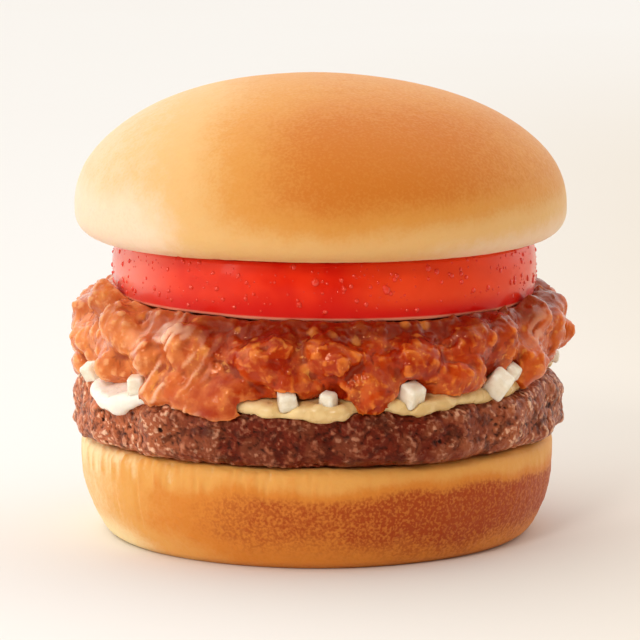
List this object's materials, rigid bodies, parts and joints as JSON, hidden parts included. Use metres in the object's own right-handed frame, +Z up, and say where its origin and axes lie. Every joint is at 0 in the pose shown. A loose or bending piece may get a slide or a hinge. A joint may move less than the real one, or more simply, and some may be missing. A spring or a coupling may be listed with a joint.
{
  "type": "hamburger",
  "caption": "Round hamburger in a plain soft bun, with a beef patty, mayonnaise, diced onion, chunky meat sauce and a thick slice of tomato.",
  "frame": {"origin": "centre of the bounding box's base, which is the bun heel's flat underside", "axes": "+Z up through the layers; the side shown in the picture faces -Y, and +X is to its right"},
  "size_m": [0.1019, 0.1029, 0.093],
  "materials": {
    "bun": "soft baked skin",
    "beef": "coarse grilled meat, slightly moist",
    "mayonnaise": "smooth and glossy",
    "onion": "moist and slightly translucent",
    "meat_sauce": "lumpy and glossy",
    "tomato": "smooth wet skin"
  },
  "bodies": {
    "root": {"bun_heel": "bun", "patty": "beef", "mayonnaise": "mayonnaise", "meat_sauce": "meat_sauce", "tomato": "tomato", "bun_crown": "bun", "onion_01": "onion", "onion_02": "onion", "onion_03": "onion", "onion_04": "onion", "onion_05": "onion", "onion_06": "onion", "onion_07": "onion", "onion_08": "onion", "onion_09": "onion", "onion_10": "onion", "onion_11": "onion", "onion_12": "onion", "onion_13": "onion", "onion_14": "onion", "onion_15": "onion", "onion_16": "onion", "onion_17": "onion"}
  },
  "joints": []
}
